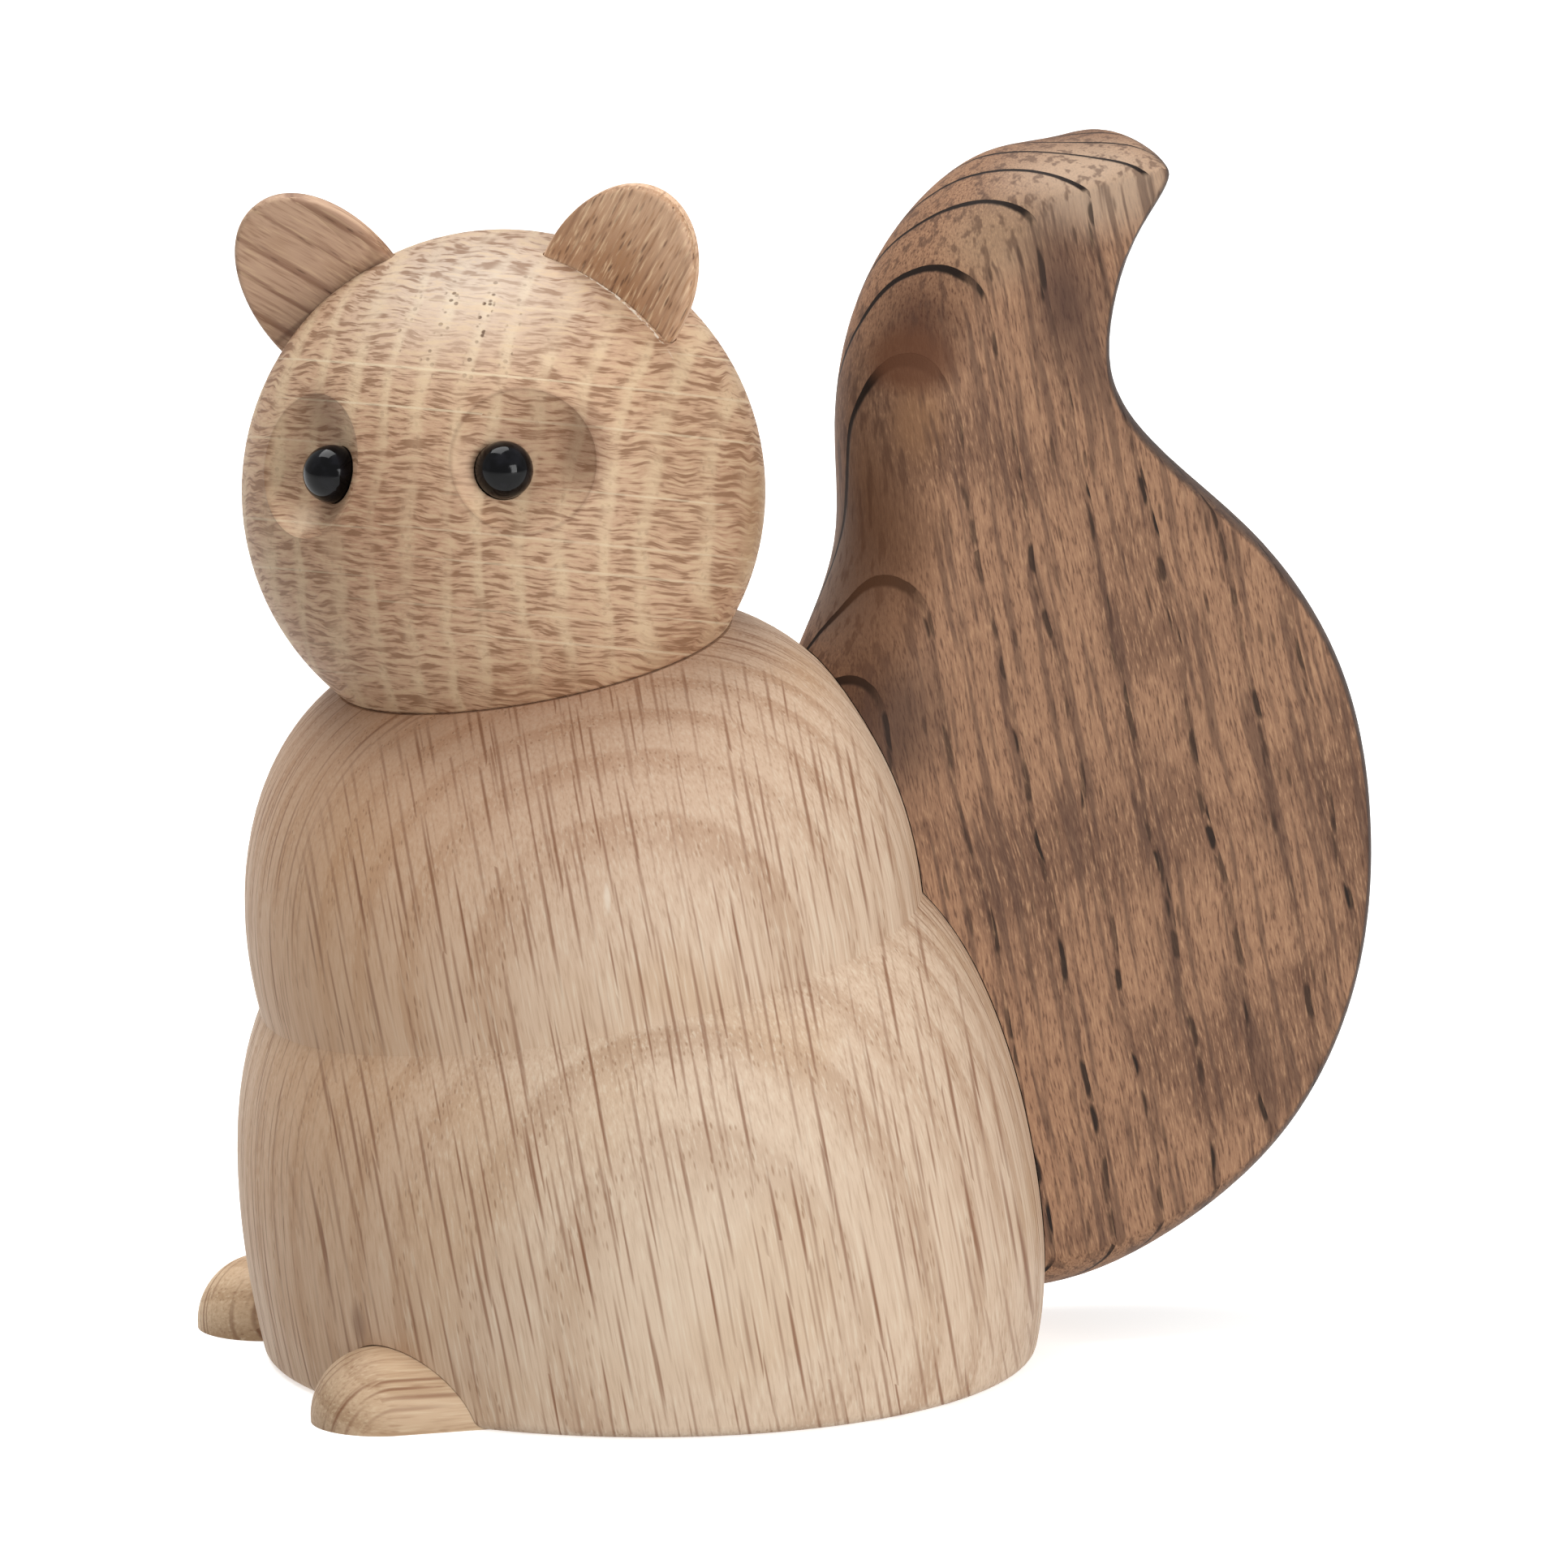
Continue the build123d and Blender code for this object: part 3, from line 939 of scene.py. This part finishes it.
@dataclass
class BallHead:
    """The ball head with its ears and bead eyes."""

    middle: Triple = (0.0, -14.92, 83.42)
    grain: Triple = (0.86, -0.44, 0.2)
    pith_side: Triple = (0.45, 0.89, -0.06)
    left_ear_grain: Triple = (0.35, 0.35, 0.85)
    left_ear_pith_side: Triple = (0.8, -0.6, 0.0)
    right_ear_grain: Triple = (-0.35, -0.78, 0.45)
    right_ear_pith_side: Triple = (0.3, 0.3, 1.0)

    def dress(self) -> list[str]:
        """Give the head, ears and eyes their finishes.

        Returns:
            The names of the pieces dressed.
        """
        woods = (
            ("head", HEAD_OAK, self.grain, self.pith_side),
            ("ear_left", LEFT_EAR_LIT_OAK, self.left_ear_grain, self.left_ear_pith_side),
            ("ear_right", EAR_OAK, self.right_ear_grain, self.right_ear_pith_side),
        )
        for name, oak, grain, pith_side in woods:
            put_on(name, oak.material(Blank(grain, pith_side, self.middle)))
        glass = BlackGlass().material()
        for name in ("eye_left", "eye_right"):
            put_on(name, glass)
        return ["head", "ear_left", "ear_right", "eye_left", "eye_right"]


@dataclass
class SmokedTail:
    """The tail plate."""

    grain: Triple = TAIL_GRAIN
    heart_side: Triple = (0.65, -0.76, 0.0)

    def dress(self) -> list[str]:
        """Give the tail its smoked oak and hand back its name."""
        put_on("tail", TAIL_OAK.material(Blank(self.grain, self.heart_side)))
        return ["tail"]


@dataclass(frozen=True)
class Lamp:
    """A square soft lamp: its place and width in metres and its power in watts."""

    name: str
    spot: Triple
    width: float
    power: float


@dataclass
class Studio:
    """A white sweep, soft light and the camera at the photograph's angle, in metres."""

    eye: Triple = (1.44924, -0.43481, 0.35839)
    target: Triple = (0.0017552, 0.0119667, 0.0542249)
    lens: float = 376.4
    sensor: float = 36.0
    sight: float = 30.0
    floor_half: float = 6.0
    floor_cells: int = 8
    floor_white: str = "#FBFBFA"
    floor_roughness: float = 0.9
    floor_glow: float = 0.5
    white: str = "#FFFFFF"
    room: float = 0.52
    lamps: tuple[Lamp, ...] = (
        Lamp("key", (1.12, 0.4, 0.34), 0.6, 9.5),
        Lamp("top", (-0.3, -0.15, 1.15), 0.8, 11.5),
    )

    def floor(self) -> None:
        """Lay the floor, which glows a little so that it comes out white and lights nothing."""
        shape = bmesh.new()
        cells = self.floor_cells
        bmesh.ops.create_grid(shape, x_segments=cells, y_segments=cells, size=self.floor_half)
        mesh = bpy.data.meshes.new("floor")
        shape.to_mesh(mesh)
        shape.free()
        floor = bpy.data.objects.new("floor", mesh)
        bpy.context.scene.collection.objects.link(floor)
        # White paper: matt and even.
        paper = bare_material("white_paper")
        graph = Graph(paper.node_tree)
        surface = {
            "Base Color": linear(self.floor_white),
            "Roughness": self.floor_roughness,
            "Emission Color": linear(self.white),
            "Emission Strength": self.floor_glow,
        }
        graph.add("OutputMaterial", (graph.add("BsdfPrincipled", surface),))
        mesh.materials.append(paper)
        floor.visible_diffuse = False

    def light(self) -> None:
        """Light the room evenly, with a broad soft key and a lamp from above."""
        world = bpy.data.worlds.new("soft_room")
        world.use_nodes = True
        sky = world.node_tree.nodes["Background"]
        sky.inputs["Color"].default_value = linear(self.white)
        sky.inputs["Strength"].default_value = self.room
        bpy.context.scene.world = world
        for lamp in self.lamps:
            panel = bpy.data.lights.new(lamp.name, "AREA")
            panel.size = lamp.width
            panel.energy = lamp.power
            self.aim(bpy.data.objects.new(lamp.name, panel), lamp.spot)

    def aim(self, held: bpy.types.Object, spot: Triple) -> None:
        """Stand a lamp or camera at a spot and point it at the figurine.

        Args:
            held: The lamp or camera.
            spot: Where it stands.
        """
        held.location = spot
        sight = Vector(self.target) - Vector(spot)
        held.rotation_euler = sight.to_track_quat("-Z", "Y").to_euler()
        bpy.context.scene.collection.objects.link(held)

    def camera(self) -> None:
        """Set the camera where the photograph was taken from."""
        lens = bpy.data.cameras.new("camera")
        lens.lens = self.lens
        lens.sensor_width = self.sensor
        lens.sensor_fit = "HORIZONTAL"
        lens.clip_end = self.sight
        held = bpy.data.objects.new("camera", lens)
        self.aim(held, self.eye)
        bpy.context.scene.camera = held

    def build(self) -> None:
        """Set up the whole studio."""
        self.floor()
        self.light()
        self.camera()
        bpy.context.scene.view_settings.view_transform = "Standard"


def main() -> None:
    """Build and dress each sub-assembly, then the studio."""
    logging.basicConfig(level=logging.INFO)
    for assembly in (TurnedBody(), BallHead(), SmokedTail()):
        for piece in assembly.dress():
            LOG.info("dressed %s", piece)
    Studio().build()


if __name__ == "__main__":
    main()
